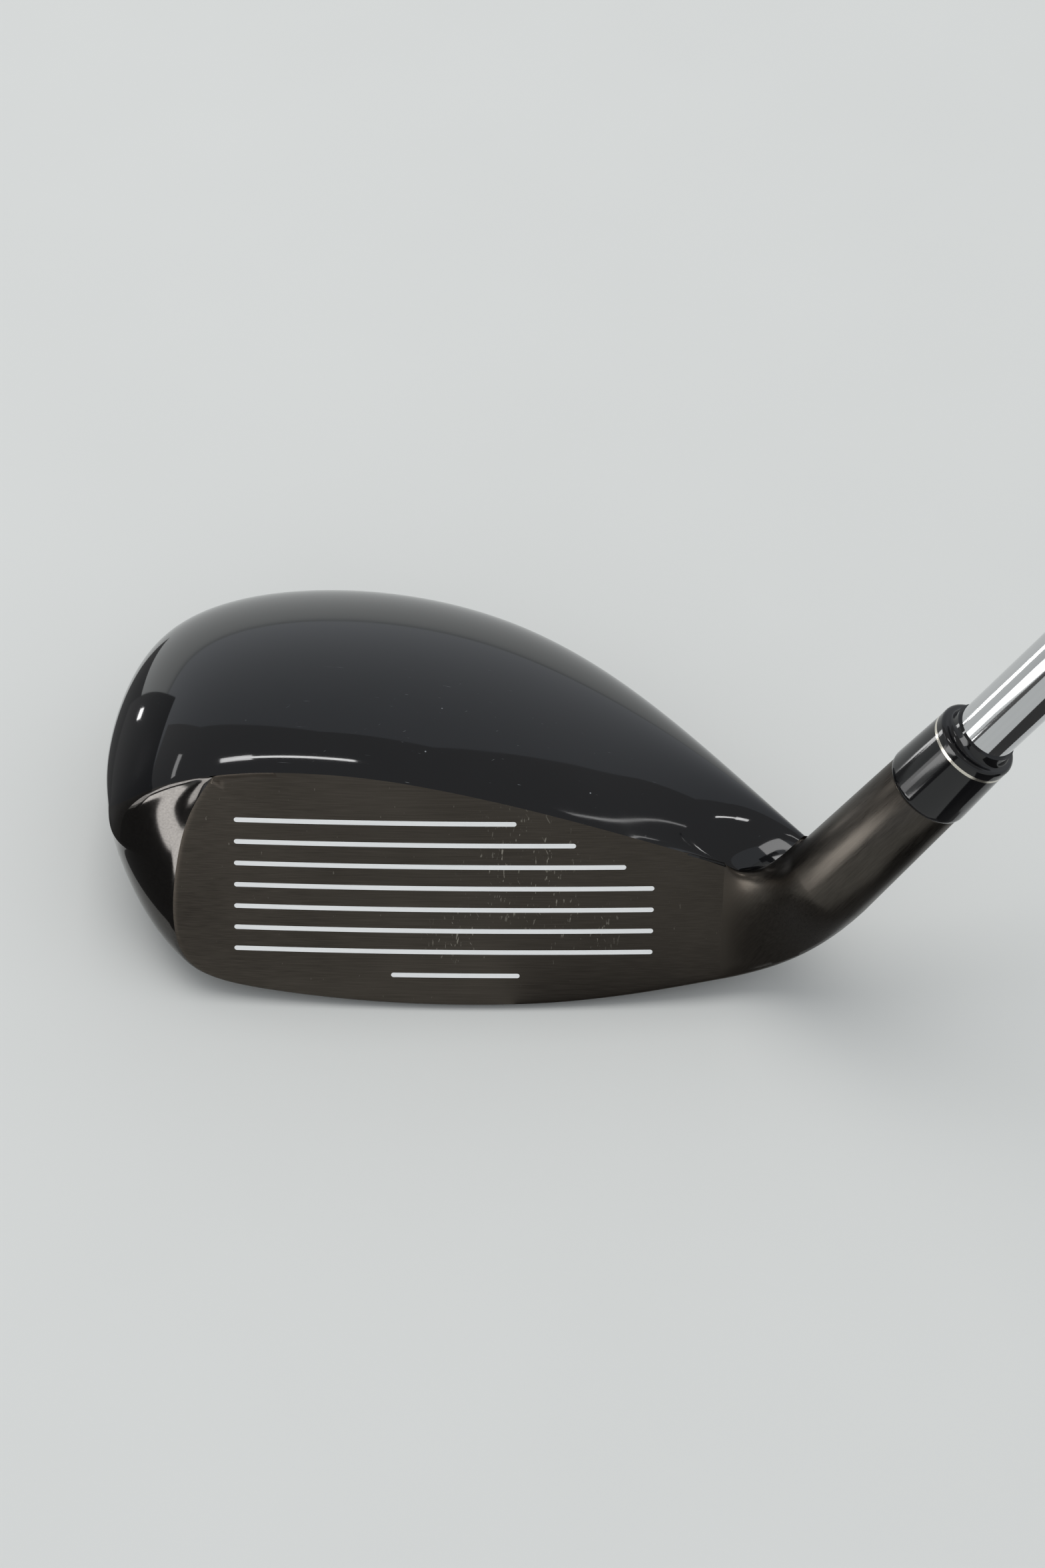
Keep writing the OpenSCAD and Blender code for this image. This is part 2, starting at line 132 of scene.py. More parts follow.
def bspline(points, t):
    """The cubic B-spline over the points, which starts and ends at the first and last of them."""
    last = len(points) - 1
    i = min(int(t * last), last - 1)
    k = t * last - i
    s = 1 - k
    before = points[i - 1] if i > 0 else 2 * points[0] - points[1]
    after = points[i + 2] if i + 2 <= last else 2 * points[last] - points[last - 1]
    return (
        s ** 3 * before
        + (3 * k ** 3 - 6 * k * k + 4) * points[i]
        + (3 * s ** 3 - 6 * s * s + 4) * points[i + 1]
        + k ** 3 * after
    ) / 6


def shift(table, t):
    """The shift at t from a table of shifts in mm."""
    return bspline([mm(*p) for p in table], t)


def relaxed(rings, shares, passes):
    """Closed rings of points, smoothed over a number of passes.

    Each pass draws every point by its share to the middle of its four neighbours: fully a third of the
    way up, less towards the first and last rings, and not at all in those.
    """
    full_pull = 27 / 4
    count, last = len(rings[0]), len(rings) - 1
    for _ in range(passes):
        rings = [rings[0]] + [
            [
                mix(
                    rings[r][i],
                    (rings[r][i - 1] + rings[r][(i + 1) % count] + rings[r - 1][i] + rings[r + 1][i]) / 4,
                    shares[i] * full_pull * (r / last) * (1 - r / last) ** 2,
                )
                for i in range(count)
            ]
            for r in range(1, last)
        ] + [rings[last]]
    return rings



# ---- Sizes and colours that a user would change ----
def length(name, description, default):
    return FloatProperty(name=name, description=description, default=default * MM, unit="LENGTH")


def angle(name, description, default):
    return FloatProperty(name=name, description=description, default=math.radians(default), unit="ROTATION")


def colour(name, description, default):
    return StringProperty(name=name, description=description + ", as an sRGB hex value", default=default)


class ClubSizes(bpy.types.PropertyGroup):
    lie: angle("Lie", "Angle between the shaft axis and the ground", 59.5)
    loft: angle("Loft", "Backward lean of the face", 22)
    face_progression: length("Face progression", "Leading edge in front of the shaft axis", 6)
    toe_reach: length("Toe reach", "Shaft axis on the ground to the end of the toe", 101)
    head_depth: length("Head depth", "Leading edge to the back of the head", 77)
    face_height: length("Face height", "Tallest part of the face, up its slope", 42.4)
    rim_height: length("Rim height", "Rim between crown and skirt above the ground", 15.5)
    bulge_radius: length("Bulge radius", "Radius of the face from heel to toe", 720)
    skin: length("Skin", "Thickness of the shells as they are drawn", 0.3)
    crease_radius: length("Crease radius", "Round between the face and the toe flank", 0.9)
    hosel_d: length("Hosel diameter", "Outer diameter at the top of the hosel", 13.2)
    hosel_taper: length("Hosel taper", "Growth of that diameter towards the head", 1.3)
    hosel_top: length("Hosel top", "Top of the hosel along the shaft axis", 57.7)
    hosel_length: length("Hosel length", "Straight part of the hosel, below its top", 25)
    bore_depth: length("Bore depth", "Depth of the hosel bore", 21)
    ferrule_length: length("Ferrule length", "Black sleeve below the trim ring", 10.6)
    ferrule_d: length("Ferrule diameter", "Sleeve where it meets the hosel", 13.8)
    ring_width: length("Ring width", "Width of the trim ring", 0.5)
    collar_length: length("Collar length", "Collar above the trim ring", 3.4)
    tip_d: length("Shaft tip diameter", "Shaft at its tip", 9.4)
    butt_d: length("Shaft butt diameter", "Shaft at its butt", 15.2)
    shaft_wall: length("Shaft wall", "Wall of the steel tube", 0.4)
    tip_length: length("Tip length", "Plain section below the first step", 215)
    step_count: IntProperty(name="Steps", description="Steps between tip and butt", default=15, min=1, max=30)
    club_length: length("Club length", "Ground to the end of the grip cap, along the axis", 1028)
    grip_length: length("Grip length", "Grip without its cap", 262)
    cap_thickness: length("Cap thickness", "End cap of the grip", 3.5)


class ClubColours(bpy.types.PropertyGroup):
    crown: colour("Crown", "Black lacquer", "0a0b0e")
    face: colour("Face", "Dark brushed steel", "49443e")
    flank: colour("Flank", "Polished dark steel", "4a4846")
    neck: colour("Neck", "Satin dark steel", "4a4641")
    scores: colour("Score lines", "White paint", "f6f6f4")
    ferrule: colour("Ferrule", "Black plastic", "0b0b0d")
    ring: colour("Ring", "Bright trim ring", "d9d4c8")
    shaft: colour("Shaft", "Chrome plating", "c9cacb")
    grip: colour("Grip", "Black rubber", "17171a")
    floor: colour("Floor", "Pale studio floor", "dcdcd8")


def sizes():
    return bpy.context.scene.club_sizes


def colours():
    return bpy.context.scene.club_colours


def shaft_directions():
    """Directions up the shaft and square across it, both in the XZ plane."""
    lie = sizes().lie
    return Vector((math.cos(lie), 0, math.sin(lie))), Vector((math.sin(lie), 0, -math.cos(lie)))


def shaft_turn():
    """Angles in degrees that turn a grain's Z axis along the shaft."""
    return 0, 90 - math.degrees(sizes().lie), 0


def linear(hex_value):
    """sRGB hex to a linear RGBA colour."""
    channels = [int(hex_value[i:i + 2], 16) / 255 for i in (0, 2, 4)]
    return [c / 12.92 if c <= 0.04045 else ((c + 0.055) / 1.055) ** 2.4 for c in channels] + [1.0]


# ---- Surfaces of the head ----
class Head:
    """The head's surfaces as functions of two parameters, each from 0 to 1."""

    # Outlines, as shares of the toe reach, the face height, the head depth and the rim height
    topline_shares = (
        (-0.972, 0.730, 0.115), (-0.948, 0.796, 0.062), (-0.886, 0.922, 0.018), (-0.798, 0.992, 0),
        (-0.693, 1.013, 0), (-0.554, 0.998, 0), (-0.416, 0.935, 0), (-0.277, 0.850, 0),
        (-0.134, 0.743, 0), (0, 0.635, 0),
    )
    face_edge_shares = (
        (-0.838, 0.830), (-0.860, 0.610), (-0.872, 0.350), (-0.850, 0.130), (-0.715, 0.068),
        (-0.560, 0.030), (-0.410, 0.018), (-0.260, 0.028), (-0.120, 0.072), (0, 0.130),
    )
    rim_shares = (
        (-0.994, 0.430, 1.28), (-0.988, 0.650, 1.10), (-0.932, 0.870, 1.03), (-0.780, 0.985, 1.00),
        (-0.560, 1.000, 1.00), (-0.345, 0.925, 1.03), (-0.164, 0.752, 1.10), (0.000, 0.482, 1.28),
        (0.122, 0.182, 1.63),
    )
    # Shifts in mm of the surfaces' inner control points, from the toe to the heel
    crown_front_rise = (
        (0, 0, 0), (0, 0, 3), (0, 0, 8), (0, 0, 14), (0, 0, 16), (0, 0, 16), (0, 0, 14), (0, 0, 10),
        (0, 0, 4), (4, -0.6, -8.6),
    )
    crown_back_rise = (
        (0, 0, 0), (0, 0, 3), (0, 0, 7), (0, -1, 12), (0, -3, 15), (0, -3, 15), (0, -3, 13),
        (-1, -3, 11), (-1, -4, 10.5), (1.2, -5, 17),
    )
    skirt_pull = (
        (0, 0, 0), (-2, -1, -1.5), (0, -6, -4), (0.5, -10, -8), (0.5, -7, -12), (0, 1, -12.5),
        (0, 2.3, -12.5), (0, 2.3, -12.5), (0, 2, -10.5), (1, 2, -9), (2.5, 5, -12),
    )
    sole_pull = (
        (0, 0, 0), (-4, 2, 0.5), (-7, 4, 0), (-9, 4, -3.5), (-8, 9, -5), (-4, 22, -4.4),
        (0, 30, -3.4), (0, 30, -3.3), (0, 26, -3.3), (2, 17, -3.2), (6, 9, -2.6),
    )
    crown_front_share = 0.28
    # Where the crease meets the topline, the toe's share of the skirt's edge and the mitre's of the crease
    corner_t, toe_share, mitre_share = 3 / 9, 0.2, 0.06
    # The sheets start just off the point where they all meet
    first_t = 0.004
    # Steps over which a direction is taken: along an outline and over a surface
    edge_step, surface_step = 0.01, 0.02
    # Middle of the bulge from the shaft axis to the toe, and of the face up its slope
    bulge_share, middle_share = -0.43, 0.45
    # The neck: how far it turns up the axis at once, how far its control points reach, and how soon the
    # heel corner's pull on its direction and the smoothing of the crown's side end
    neck_lift, neck_reach, corner_ease, crown_ease = 0.9, 0.36, 2.5, 0.9
    loop_turns = (215, 100, -50, -145)
    corner_run = Vector((0.8, -0.55, 0.1)).normalized()
    relax_passes = 120
    mouth_height, mouth_narrowing, bore_play = 0.3 * MM, 0.4 * MM, 0.2 * MM
    # The sheets' columns and rows: the skirt and sole end, and the face begins, in the middle of the round
    crown_columns, crown_rows = 150, 54
    casting_columns, sole_rows, round_rows = 200, 56, 6
    casting_rows = sole_rows + round_rows
    crease_row = sole_rows + round_rows // 2

    def __init__(self):
        self.s = s = sizes()
        self.bulge_centre = self.bulge_share * s.toe_reach
        self.axis, self.axis_side = shaft_directions()
        self.topline = [
            Vector((x * s.toe_reach, up * s.face_height, back * s.head_depth))
            for x, up, back in self.topline_shares
        ]
        corner = bspline(self.topline, self.corner_t)
        self.corner = Vector((corner.x, corner.y, 0))
        self.face_edge = [self.corner] + [
            Vector((x * s.toe_reach, up * s.face_height, 0)) for x, up in self.face_edge_shares
        ]
        toe = self.on_face(bspline(self.topline, 0))
        self.rim = [toe] + [
            Vector((x * s.toe_reach, y * s.head_depth - s.face_progression, z * s.rim_height))
            for x, y, z in self.rim_shares
        ]
        step = bspline(self.topline, self.corner_t + self.edge_step) - corner
        self.corner_slope = step.y / step.x

    def on_face(self, p):
        """World place of x, height up the face and depth behind it."""
        s = self.s
        off = p.x - self.bulge_centre
        back = p.z + s.bulge_radius - math.sqrt(s.bulge_radius ** 2 - off ** 2)
        return Vector((
            p.x,
            -s.face_progression + p.y * math.sin(s.loft) + back * math.cos(s.loft),
            p.y * math.cos(s.loft) - back * math.sin(s.loft),
        ))

    def topline_at(self, t):
        return self.on_face(bspline(self.topline, t))

    def crown(self, t, v):
        t = max(t, self.first_t)
        front, back = self.topline_at(t), bspline(self.rim, t)
        pull = self.crown_front_share * (back - front) + shift(self.crown_front_rise, t)
        return bezier([front, front + pull, back + shift(self.crown_back_rise, t), back], v)

    def skirt_edge(self, t):
        if t < self.toe_share:
            return self.topline_at(self.corner_t * (1 - t / self.toe_share))
        return bspline(self.rim, (t - self.toe_share) / (1 - self.toe_share))

    def sole(self, t, v):
        t = max(t, self.first_t)
        edge, face = self.skirt_edge(t), self.on_face(bspline(self.face_edge, t))
        return bezier([edge, edge + shift(self.skirt_pull, t), face + shift(self.sole_pull, t), face], v)

    def land_point(self, t, inset):
        """A point that lies inset from the face's outline, as x and height up the face."""
        before, after = max(t - self.edge_step, 0), min(t + self.edge_step, 1)
        along = bspline(self.face_edge, after) - bspline(self.face_edge, before)
        left = Vector((-along.y, along.x, 0)).normalized()
        q = bspline(self.face_edge, t) + inset * left
        # At the top of the crease the strip ends along the topline, in a mitre
        top_run = Vector((1, self.corner_slope, 0)).normalized()
        q = mix(self.corner + inset / left.dot(top_run) * top_run, q, smooth(t / self.mitre_share))
        top = self.corner.y + self.corner_slope * (q.x - self.corner.x)
        return Vector((min(q.x, 0), min(q.y, top), 0))

    def crease(self, t):
        """Where the round at the crease starts on the sole, and its radius."""
        reach = (self.sole(t, 1) - self.sole(t, 1 - self.surface_step)).length / self.surface_step
        # The round takes no more than a quarter of the way that the sole runs there
        radius = min(self.s.crease_radius, 0.25 * reach)
        return 1 - radius / max(reach, 1e-6), radius

    def casting(self, t, row):
        """The skirt and sole, then the round at the crease, up to the flat of the face."""
        t = max(t, self.first_t)
        last, radius = self.crease(t)
        if row <= self.sole_rows:
            return self.sole(t, last * row / self.sole_rows)
        edge, flat = self.on_face(bspline(self.face_edge, t)), self.on_face(self.land_point(t, radius))
        return bezier([self.sole(t, last), edge, flat], (row - self.sole_rows) / self.round_rows)

    def brushed_face(self, heel_columns, top_columns, inner_rows):
        """Columns of points that run from the edge of the brushed face to its middle."""
        middle = Vector((self.bulge_centre, self.middle_share * self.s.face_height, 0))
        columns = []
        for k in range(self.casting_columns + 1):
            t = max(k / self.casting_columns, self.first_t)
            edge = [self.casting(t, row) for row in range(self.crease_row, self.casting_rows)]
            p = self.land_point(t, self.crease(t)[1])
            # The mitre's points stay at its first one, so that the sheet doesn't fold
            folds = columns and t < 2 * self.mitre_share and p.x > columns[0][1].x
            columns.append((edge, columns[0][1] if folds else p))
        first, last, depth = columns[0][1], columns[-1][1], self.casting_rows - self.crease_row
        high = bspline(self.topline, 1)
        for k in range(1, heel_columns):
            p = mix(last, high, k / heel_columns)
            columns.append(([self.on_face(p)] * depth, p))
        for k in range(top_columns + 1):
            t = mix(1, self.corner_t, k / top_columns)
            p = bspline(self.topline, t)
            if p.x > first.x + 0.1 * MM:
                columns.append(([self.on_face(p)] * depth, Vector((p.x, p.y, 0))))
        return [
            edge + [self.on_face(mix(p, middle, k / inner_rows)) for k in range(inner_rows + 1)]
            for edge, p in columns
        ]

    def hosel(self, turn, height, d):
        """A point of a circle round the shaft axis, at a turn in degrees."""
        turn = math.radians(turn)
        side = math.cos(turn) * self.axis_side + math.sin(turn) * Vector((0, 1, 0))
        return height * self.axis + d / 2 * side

    def neck_rings(self, face_rows, rows):
        """Rings of points from the heel end of the head up to the top of the hosel."""
        # Round the heel end: each place, the way the neck leaves it, and its part of the loop with a share
        start, loop = 1 - self.surface_step, []
        for j in range(self.crown_rows + 1):
            p = self.crown(1, j / self.crown_rows)
            run = (p - self.crown(start, j / self.crown_rows)).normalized()
            run = mix(run, self.axis, self.neck_lift).normalized()
            run = mix(self.corner_run, run, smooth(self.corner_ease * j / self.crown_rows)).normalized()
            loop.append((p, run, (0, j / self.crown_rows)))
        for j in range(1, self.casting_rows + 1):
            p = self.casting(1, j)
            run = (p - self.casting(start, j)).normalized()
            loop.append((p, run, (1, j / self.casting_rows)))
        low, high, face_run = loop[-1][0], loop[0][0], Vector((1, 0, 0))
        for j in range(1, face_rows):
            run = mix(face_run, self.corner_run, smooth(j / face_rows)).normalized()
            loop.append((mix(low, high, j / face_rows), run, (2, j / face_rows)))
        s = self.s
        ease_end = s.hosel_top - s.hosel_length
        turns = [mix(self.loop_turns[part], self.loop_turns[part + 1], k) for _, _, (part, k) in loop]
        rings = []
        for r in range(rows + 1):
            ring = []
            for (p, run, _), turn in zip(loop, turns):
                q = self.hosel(turn, ease_end, s.hosel_d + s.hosel_taper)
                reach = self.neck_reach * (q - p).length
                ring.append(bezier([p, p + reach * run, q - reach * self.axis, q], r / rows))
            rings.append(ring)
        shares = [(1 - smooth(k / self.crown_ease), 0, smooth(k))[part] for _, _, (part, k) in loop]
        rings = relaxed(rings, shares, self.relax_passes)
        bore_d = s.tip_d + self.bore_play
        for height, d in (
            (s.hosel_top - self.mouth_height, s.hosel_d), (s.hosel_top, s.hosel_d - self.mouth_narrowing),
            (s.hosel_top, bore_d), (s.hosel_top - s.bore_depth, bore_d),
        ):
            rings.append([self.hosel(turn, height, d) for turn in turns])
        return rings


# ---- Mesh helpers ----
# Vertices nearer than this are one: in the sheets, in the lathed pieces and in the CAD's meshes
SHEET_WELD, LATHE_WELD, CAD_WELD = 1e-7, 1e-6, 2e-6


def welded(bm, distance):
    bmesh.ops.remove_doubles(bm, verts=bm.verts, dist=distance)
    return bm


def from_cad(node):
    bm = bmesh.new()
    bm.from_mesh(frame["nodes"][node].data)
    return welded(bm, CAD_WELD)


def new_mesh(name, bm):
    mesh = bpy.data.meshes.new(name)
    bm.to_mesh(mesh)
    bm.free()
    return mesh


def finish_piece(bm, name, material, replaced, smooth_angle=180):
    """Turns a bmesh into a smooth-shaded piece that rides on the club and replaces CAD nodes."""
    bmesh.ops.recalc_face_normals(bm, faces=bm.faces)
    if any(len(edge.link_faces) == 1 for edge in bm.edges):
        turn_outwards(bm)
    for edge in bm.edges:
        edge.smooth = not edge.is_boundary
    mesh = new_mesh(name, bm)
    if material:
        mesh.materials.append(material)
    piece = bpy.data.objects.new(name, mesh)
    bpy.context.collection.objects.link(piece)
    mesh.polygons.foreach_set("use_smooth", [True] * len(mesh.polygons))
    if smooth_angle < 180:
        mesh.set_sharp_from_angle(angle=math.radians(smooth_angle))
    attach(piece, "root")
    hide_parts(*replaced)
    return piece


def turn_outwards(bm):
    """Turns an open sheet so that its faces look away from the middle of the head."""
    low, high = CAD_HEAD
    middle = (low + high) / 2
    outward = sum(
        (face.calc_center_median() - middle).dot(face.normal) * face.calc_area() for face in bm.faces
    )
    if outward < 0:
        bmesh.ops.reverse_faces(bm, faces=bm.faces)


def sheet(columns, rows, place):
    """A grid whose vertex in column i and row j lies at place(i, j)."""
    bm = bmesh.new()
    bmesh.ops.create_grid(bm, x_segments=columns, y_segments=rows, size=0.5)
    for vert in bm.verts:
        i, j = round((vert.co.x + 0.5) * columns), round((vert.co.y + 0.5) * rows)
        vert.co = place(i, j)
    return bm


def thicken(piece):
    """Gives a sheet its wall on the inner side."""
    wall = piece.modifiers.new("wall", "SOLIDIFY")
    wall.thickness = sizes().skin
    wall.offset = -1


def lathe(profile, segments=96):
    """Spins a profile of (radius, height) points round the shaft axis; a closed one starts where it ends."""
    axis, side = shaft_directions()
    bm = bmesh.new()
    verts = [bm.verts.new(r * side + h * axis) for r, h in profile]
    edges = [bm.edges.new(pair) for pair in zip(verts, verts[1:])]
    bmesh.ops.spin(
        bm, geom=verts + edges, cent=(0, 0, 0), axis=axis, angle=math.tau, steps=segments,
        use_merge=True, use_duplicate=False,
    )
    return welded(bm, LATHE_WELD)


# ---- Materials ----
STROKE_EDGE = 0.05
BRUSHED_ROUGHNESS = 0.36
# Depth in mm of the bumps in metal and lacquer, and in the plain finishes
FINE_BUMP, PLAIN_BUMP = 0.02, 0.05


def set_up(tree, node, settings):
    """Sets a node's properties and inputs; an input that is given another node's output is linked to it."""
    for key, value in settings.items():
        if isinstance(value, bpy.types.NodeSocket):
            tree.links.new(value, node.inputs[key])
        elif isinstance(key, int) or key in node.inputs:
            node.inputs[key].default_value = value
        else:
            setattr(node, key, value)


def add(tree, kind, settings):
    """Adds a shader node of a kind and sets it up."""
    node = tree.nodes.new("ShaderNode" + kind)
    set_up(tree, node, settings)
    return node


def calc(tree, operation, *values, clamp=False):
    """One math operation on numbers and outputs."""
    settings = {"operation": operation, "use_clamp": clamp, **dict(enumerate(values))}
    return add(tree, "Math", settings).outputs[0]


def mapped(tree, value, low, high, to_low=0.0, to_high=1.0, easing="LINEAR"):
    """A value with its range from low to high brought to another range."""
    return add(tree, "MapRange", {
        "interpolation_type": easing, "Value": value,
        "From Min": low, "From Max": high, "To Min": to_low, "To Max": to_high,
    }).outputs[0]


def blended(tree, factor, a, b):
    """A colour that runs from a to b with a factor."""
    return add(tree, "Mix", {"data_type": "RGBA", 0: factor, 6: a, 7: b}).outputs[2]


def bumps(tree, height, strength, depth):
    """The normals of a bump whose depth is in mm."""
    settings = {"Strength": strength, "Distance": depth * MM, "Height": height}
    return add(tree, "Bump", settings).outputs[0]


def grid(tree, place, size, turn=(0, 0, 0), centre=(0, 0, 0)):
    """Coordinates from a centre, in steps of the given size in mm, turned by angles in degrees."""
    return add(tree, "Mapping", {
        "vector_type": "TEXTURE", "Vector": place, "Location": centre,
        "Scale": [k * MM for k in size], "Rotation": [math.radians(a) for a in turn],
    }).outputs[0]


def new_material(name, shader_settings):
    """A material with one Principled shader, with its tree, the shader and Object coordinates."""
    material = bpy.data.materials.new(name)
    material.use_nodes = True
    tree = material.node_tree
    tree.nodes.clear()
    shader = add(tree, "BsdfPrincipled", shader_settings)
    add(tree, "OutputMaterial", {"Surface": shader.outputs["BSDF"]})
    place = add(tree, "TexCoord", {}).outputs["Object"]
    return material, tree, shader, place


def shade(hex_value, factor):
    """A hex colour made lighter or darker."""
    return [c * factor for c in linear(hex_value)[:3]] + [1.0]


def clouds(tree, place, size, turn=(0, 0, 0), detail=3.0):
    """Soft noise whose features have the given size in mm on X, Y and Z, turned by angles in degrees."""
    settings = {"Scale": 1.0, "Detail": detail, "Vector": grid(tree, place, size, turn)}
    return add(tree, "TexNoise", settings).outputs["Fac"]


def strokes(tree, place, size, turn, level):
    """Mask of short straight marks, of a size in mm, where soft noise rises over a level."""
    return mapped(tree, clouds(tree, place, size, turn, 2.0), level, level + STROKE_EDGE)


def patch(tree, place, centre, size):
    """Mask that is 1 about a centre and fades to 0 at the given reach in mm."""
    spot, full = grid(tree, place, size, centre=centre), 0.6
    fade = add(tree, "TexGradient", {"gradient_type": "SPHERICAL", "Vector": spot})
    return mapped(tree, fade.outputs["Fac"], 0.0, full)


def specks(tree, place, spacing, radius, share):
    """Mask of small round specks: their spacing and radius in mm, and the share of cells that have one."""
    cells = add(tree, "TexVoronoi", {"Scale": 1.0, "Vector": grid(tree, place, [spacing] * 3)})
    size = radius / spacing
    dots = mapped(tree, cells.outputs["Distance"], 0.6 * size, size, 1.0, 0.0)
    return calc(tree, "MULTIPLY", dots, calc(tree, "LESS_THAN", cells.outputs["Color"], share))


def joined(tree, operation, *masks):
    """Masks joined by one math operation."""
    whole = masks[0]
    for mask in masks[1:]:
        whole = calc(tree, operation, whole, mask, clamp=True)
    return whole


def gloss_lacquer(crown):
    # Sprayed black lacquer, polished: a deep mirror with faint orange peel, smears, hairlines and dust
    hex_value = colours().crown
    material, tree, shader, place = new_material("gloss_black_lacquer", {"IOR": 1.5})
    haze = clouds(tree, place, (9, 9, 9))
    rough = mapped(tree, haze, 0.3, 0.7, 0.035, 0.075)
    wear = [patch(tree, place, placed(name, crown), (26, 20, 20)) for name in ("crown_marks", "heel_marks")]
    worn = joined(tree, "ADD", *wear)
    lines = joined(
        tree, "MAXIMUM", strokes(tree, place, (7, 0.14, 0.5), (0, 0, -4), 0.76),
        strokes(tree, place, (3, 0.12, 0.5), (0, 0, 38), 0.77),
    )
    dust = specks(tree, place, 2.4, 0.16, 0.28)
    marks = joined(tree, "MULTIPLY", joined(tree, "ADD", lines, dust), worn)
    hairlines = joined(
        tree, "MULTIPLY", strokes(tree, place, (16, 0.12, 0.6), (0, 0, -3), 0.785),
        clouds(tree, place, (30, 30, 30), detail=0.0),
    )
    marks = joined(tree, "ADD", marks, hairlines)
    tint = blended(tree, haze, shade(hex_value, 0.8), shade(hex_value, 1.25))
    set_up(tree, shader, {
        "Base Color": blended(tree, marks, tint, linear("8f9294")),
        "Roughness": calc(tree, "MULTIPLY_ADD", marks, 0.3, rough),
        "Normal": bumps(tree, clouds(tree, place, (1.2, 1.2, 1.2)), 0.02, FINE_BUMP),
    })
    return material


def steel(name, hex_value, roughness, grain, turn, depth):
    """Dark steel whose colour and gloss vary along a grain, of a size in mm and with a bump of some depth."""
    material, tree, shader, place = new_material(name, {"Metallic": 1.0})
    fine, broad = clouds(tree, place, grain, turn), clouds(tree, place, (14, 14, 14), detail=2.0)
    even = mapped(tree, calc(tree, "MULTIPLY_ADD", broad, 0.6, fine), 0.5, 1.1)
    tint = blended(tree, even, shade(hex_value, 0.78), shade(hex_value, 1.22))
    rough = mapped(tree, even, 0.0, 1.0, 0.85 * roughness, 1.15 * roughness)
    set_up(tree, shader, {
        "Base Color": tint, "Roughness": rough, "Normal": bumps(tree, fine, depth, FINE_BUMP),
    })
    return material, tree, shader, place, tint, rough


def brushed_steel():
    # Black-plated steel, brushed from heel to toe: fine level lines, with pale upright scuffs left by balls
    hex_value = colours().face
    material, tree, shader, place, tint, rough = steel(
        "brushed_black_steel", hex_value, BRUSHED_ROUGHNESS, (9, 0.16, 0.16), (22, 0, 0), 0.25)
    plate = frame["nodes"]["face_plate"]
    worn = joined(tree, "ADD", *[
        patch(tree, place, placed(name, plate), size)
        for name, size in (("ball_marks", (11, 9, 14)), ("low_marks", (6, 6, 6)), ("right_marks", (9, 7, 6)))
    ])
    scuffs = joined(
        tree, "MAXIMUM", strokes(tree, place, (0.30, 1.5, 1.5), (0, 5, 0), 0.63),
        strokes(tree, place, (0.26, 2.2, 2.2), (0, -28, 0), 0.70),
    )
    groups = strokes(tree, place, (2.5, 2.5, 2.5), (0, 0, 0), 0.49)
    stray = joined(
        tree, "MULTIPLY", strokes(tree, place, (0.3, 1.4, 1.4), (0, 0, 0), 0.74),
        clouds(tree, place, (8, 8, 8)),
    )
    marks = joined(tree, "ADD", joined(tree, "MULTIPLY", scuffs, groups, worn), stray)
    set_up(tree, shader, {"Base Color": blended(tree, marks, tint, linear("928d83"))})
    return material


def polished_steel():
    # The same steel polished to a mirror on toe and sole: dark, with the faint haze of the buffing wheel
    hex_value = colours().flank
    return steel("polished_black_steel", hex_value, 0.07, (6, 0.3, 0.3), (0, 0, 30), 0.02)[0]


def satin_steel():
    # The same steel with a satin finish, drawn along the neck; its first 7 mm are brushed as the face is
    material, tree, shader, place, tint, rough = steel(
        "satin_black_steel", colours().neck, 0.30, (0.25, 0.25, 3), (0, 30, 0), 0.08)
    across = add(tree, "SeparateXYZ", {0: place}).outputs["X"]
    away = mapped(tree, across, 0.0, 7 * MM, easing="SMOOTHSTEP")
    soft = add(tree, "Mix", {"data_type": "FLOAT", 0: away, 2: BRUSHED_ROUGHNESS, 3: rough})
    set_up(tree, shader, {
        "Base Color": blended(tree, away, linear(colours().face), tint), "Roughness": soft.outputs[0],
    })
    return material


def plain_finish(name, hex_value, shader_settings, grain, turn, depth, spread=0.15):
    """A finish with one colour that varies along its grain, whose size is in mm, and a bump of that grain."""
    material, tree, shader, place = new_material(name, shader_settings)
    noise = clouds(tree, place, grain, turn)
    set_up(tree, shader, {
        "Base Color": blended(tree, noise, shade(hex_value, 1 - spread), shade(hex_value, 1 + spread)),
        "Normal": bumps(tree, noise, depth, PLAIN_BUMP),
    })
    return material


def grip_rubber(name, patterned):
    # Moulded rubber: matt black with a dry bloom; the grip has rows of small raised lozenges for the hands
    hex_value = colours().grip
    material, tree, shader, place = new_material(name, {"Roughness": 0.62, "Specular IOR Level": 0.4})
    bloom, grit = clouds(tree, place, (12, 12, 12)), clouds(tree, place, (0.25, 0.25, 0.25))
    height = grit
    if patterned:
        lozenges, pitch = 14, 5.5 * MM
        upright = add(tree, "Mapping", {
            "vector_type": "TEXTURE", "Rotation": (0, math.pi / 2 - sizes().lie, 0), "Vector": place,
        })
        x, y, z = add(tree, "SeparateXYZ", {0: upright.outputs[0]}).outputs
        turn = calc(tree, "ARCTAN2", y, x)
        waves = []
        for lean in (1, -1):
            round_it = calc(tree, "MULTIPLY", turn, lean * lozenges)
            waves.append(calc(tree, "SINE", calc(tree, "MULTIPLY_ADD", z, math.tau / pitch, round_it)))
        raised = mapped(tree, calc(tree, "MULTIPLY", *waves), 0.05, 0.35)
        height = calc(tree, "MULTIPLY_ADD", grit, 0.25, raised)
    set_up(tree, shader, {
        "Base Color": blended(tree, bloom, shade(hex_value, 0.8), shade(hex_value, 1.5)),
        "Normal": bumps(tree, height, 0.6, 0.3),
    })
    return material


